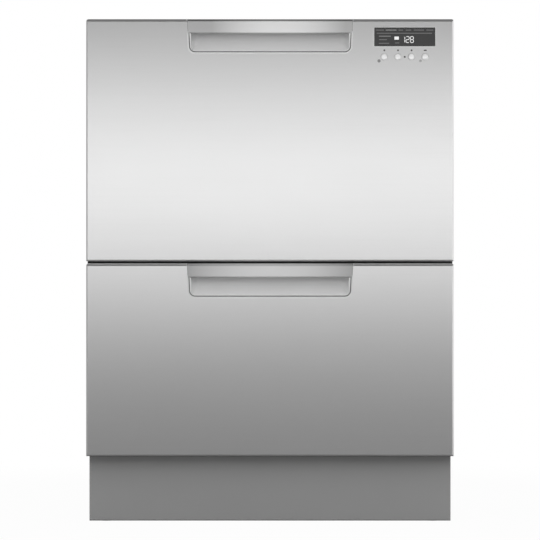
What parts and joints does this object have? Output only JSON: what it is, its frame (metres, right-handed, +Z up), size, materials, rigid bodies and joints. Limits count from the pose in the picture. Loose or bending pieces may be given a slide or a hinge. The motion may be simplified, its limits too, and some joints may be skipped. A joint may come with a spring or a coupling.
{
  "type": "dishwasher drawer",
  "caption": "Built-in dishwasher with an upper and a lower wash drawer on telescopic runners, recessed handles, display and buttons, lids, racks and spray arms.",
  "frame": {"origin": "middle of the footprint at floor level", "axes": "+Z up, the drawer fronts face -Y, +X towards the display"},
  "size_m": [0.599, 0.573, 0.82],
  "materials": {
    "stainless": "brushed along the width",
    "grip_steel": "brushed along the width, brighter",
    "scoop_plastic": "satin silver",
    "inner_plastic": "moulded",
    "tub_plastic": "moulded",
    "grey_plastic": "moulded",
    "motor_plastic": "moulded",
    "rack_wire": "nylon coated",
    "dispenser_plastic": "moulded",
    "white_plastic": "moulded",
    "zinc_sheet": "galvanised sheet",
    "base_plastic": "moulded",
    "kick_paint": "satin grey",
    "rubber": "smooth",
    "foot_plastic": "moulded",
    "display_glass": "smoked window",
    "button_metal": "satin"
  },
  "bodies": {
    "cabinet": {"side_panel_left": "zinc_sheet", "side_panel_right": "zinc_sheet", "top_panel": "zinc_sheet", "back_panel": "zinc_sheet", "base_pan": "base_plastic", "bay_divider": "zinc_sheet", "front_trim": "rubber", "kick_strip": "kick_paint", "worktop_brackets": "zinc_sheet", "inlet_valve": "white_plastic", "drain_outlet": "base_plastic", "mains_gland": "rubber", "lid_lifts": "base_plastic", "cabinet_rails": "zinc_sheet"},
    "foot_front_left": {"foot_front_left": "foot_plastic"},
    "foot_front_right": {"foot_front_right": "foot_plastic"},
    "foot_rear_left": {"foot_rear_left": "foot_plastic"},
    "foot_rear_right": {"foot_rear_right": "foot_plastic"},
    "lower_drawer": {"lower_front_skin": "stainless", "lower_inner_front": "inner_plastic", "lower_handle_scoop": "scoop_plastic", "lower_grip_bar": "grip_steel", "lower_tub": "tub_plastic", "lower_filter_plate": "grey_plastic", "lower_wash_motor": "motor_plastic", "lower_drawer_rails": "zinc_sheet", "lower_rack": "rack_wire", "lower_cutlery_basket": "grey_plastic", "lower_dispenser": "dispenser_plastic"},
    "lower_runners": {"lower_middle_rails": "zinc_sheet"},
    "lower_lid_unit": {"lower_lid": "tub_plastic", "lower_lid_seal": "rubber"},
    "lower_spray_arm": {"lower_spray_arm": "grey_plastic"},
    "lower_fold_tines": {"lower_fold_tines": "rack_wire"},
    "lower_cup_shelf": {"lower_cup_shelf": "rack_wire"},
    "lower_dispenser_door": {"lower_dispenser_door": "dispenser_plastic"},
    "upper_drawer": {"upper_front_skin": "stainless", "upper_inner_front": "inner_plastic", "upper_handle_scoop": "scoop_plastic", "upper_grip_bar": "grip_steel", "upper_tub": "tub_plastic", "upper_filter_plate": "grey_plastic", "upper_wash_motor": "motor_plastic", "upper_drawer_rails": "zinc_sheet", "display_window": "display_glass", "control_module": "white_plastic", "upper_rack": "rack_wire", "upper_cutlery_basket": "grey_plastic", "upper_dispenser": "dispenser_plastic"},
    "upper_runners": {"upper_middle_rails": "zinc_sheet"},
    "upper_lid_unit": {"upper_lid": "tub_plastic", "upper_lid_seal": "rubber"},
    "upper_spray_arm": {"upper_spray_arm": "grey_plastic"},
    "upper_fold_tines": {"upper_fold_tines": "rack_wire"},
    "upper_cup_shelf": {"upper_cup_shelf": "rack_wire"},
    "upper_dispenser_door": {"upper_dispenser_door": "dispenser_plastic"},
    "button_1": {"button_1": "button_metal"},
    "button_2": {"button_2": "button_metal"},
    "button_3": {"button_3": "button_metal"},
    "button_4": {"button_4": "button_metal"}
  },
  "joints": [
    {"name": "foot_front_left_screw", "type": "slide", "parent": "cabinet", "child": "foot_front_left", "axis": [0, 0, 1], "range_m": [-0.06, 0]},
    {"name": "foot_front_right_screw", "type": "slide", "parent": "cabinet", "child": "foot_front_right", "axis": [0, 0, 1], "range_m": [-0.06, 0]},
    {"name": "foot_rear_left_screw", "type": "slide", "parent": "cabinet", "child": "foot_rear_left", "axis": [0, 0, 1], "range_m": [-0.06, 0]},
    {"name": "foot_rear_right_screw", "type": "slide", "parent": "cabinet", "child": "foot_rear_right", "axis": [0, 0, 1], "range_m": [-0.06, 0]},
    {"name": "lower_drawer_slide", "type": "slide", "parent": "cabinet", "child": "lower_drawer", "axis": [0, -1, 0], "range_m": [0, 0.48]},
    {"name": "lower_runner_slide", "type": "slide", "parent": "cabinet", "child": "lower_runners", "axis": [0, -1, 0], "range_m": [0, 0.24]},
    {"name": "lower_lid_lift", "type": "slide", "parent": "cabinet", "child": "lower_lid_unit", "axis": [0, 0, 1], "range_m": [-0.0097, 0]},
    {"name": "lower_spray_spin", "type": "hinge", "parent": "lower_drawer", "child": "lower_spray_arm", "pos_m": [0, -0.0145, 0.1693], "axis": [0, 0, 1], "continuous": true},
    {"name": "lower_tine_fold", "type": "hinge", "parent": "lower_drawer", "child": "lower_fold_tines", "pos_m": [-0.0285, -0.0145, 0.21332], "axis": [0, -1, 0], "range_deg": [0, 90]},
    {"name": "lower_cup_shelf_fold", "type": "hinge", "parent": "lower_drawer", "child": "lower_cup_shelf", "pos_m": [-0.2225, -0.0145, 0.28], "axis": [0, -1, 0], "range_deg": [0, 85]},
    {"name": "lower_dispenser_door_hinge", "type": "hinge", "parent": "lower_drawer", "child": "lower_dispenser_door", "pos_m": [-0.024, -0.2401, 0.303], "axis": [-1, 0, 0], "range_deg": [0, 90]},
    {"name": "upper_drawer_slide", "type": "slide", "parent": "cabinet", "child": "upper_drawer", "axis": [0, -1, 0], "range_m": [0, 0.48]},
    {"name": "upper_runner_slide", "type": "slide", "parent": "cabinet", "child": "upper_runners", "axis": [0, -1, 0], "range_m": [0, 0.24]},
    {"name": "upper_lid_lift", "type": "slide", "parent": "cabinet", "child": "upper_lid_unit", "axis": [0, 0, 1], "range_m": [-0.0097, 0]},
    {"name": "upper_spray_spin", "type": "hinge", "parent": "upper_drawer", "child": "upper_spray_arm", "pos_m": [0, -0.0145, 0.4893], "axis": [0, 0, 1], "continuous": true},
    {"name": "upper_tine_fold", "type": "hinge", "parent": "upper_drawer", "child": "upper_fold_tines", "pos_m": [-0.0285, -0.0145, 0.53332], "axis": [0, -1, 0], "range_deg": [0, 90]},
    {"name": "upper_cup_shelf_fold", "type": "hinge", "parent": "upper_drawer", "child": "upper_cup_shelf", "pos_m": [-0.2225, -0.0145, 0.682], "axis": [0, -1, 0], "range_deg": [0, 85]},
    {"name": "upper_dispenser_door_hinge", "type": "hinge", "parent": "upper_drawer", "child": "upper_dispenser_door", "pos_m": [-0.024, -0.2401, 0.705], "axis": [-1, 0, 0], "range_deg": [0, 90]},
    {"name": "button_1_press", "type": "slide", "parent": "upper_drawer", "child": "button_1", "axis": [0, 1, 0], "range_m": [0, 0.001], "stiffness_N_per_m": 400, "springref_m": -0.002},
    {"name": "button_2_press", "type": "slide", "parent": "upper_drawer", "child": "button_2", "axis": [0, 1, 0], "range_m": [0, 0.001], "stiffness_N_per_m": 400, "springref_m": -0.002},
    {"name": "button_3_press", "type": "slide", "parent": "upper_drawer", "child": "button_3", "axis": [0, 1, 0], "range_m": [0, 0.001], "stiffness_N_per_m": 400, "springref_m": -0.002},
    {"name": "button_4_press", "type": "slide", "parent": "upper_drawer", "child": "button_4", "axis": [0, 1, 0], "range_m": [0, 0.001], "stiffness_N_per_m": 400, "springref_m": -0.002}
  ],
  "couplings": [
    {"joint": "lower_runner_slide", "follows": "lower_drawer_slide", "ratio": 0.5},
    {"joint": "upper_runner_slide", "follows": "upper_drawer_slide", "ratio": 0.5}
  ]
}
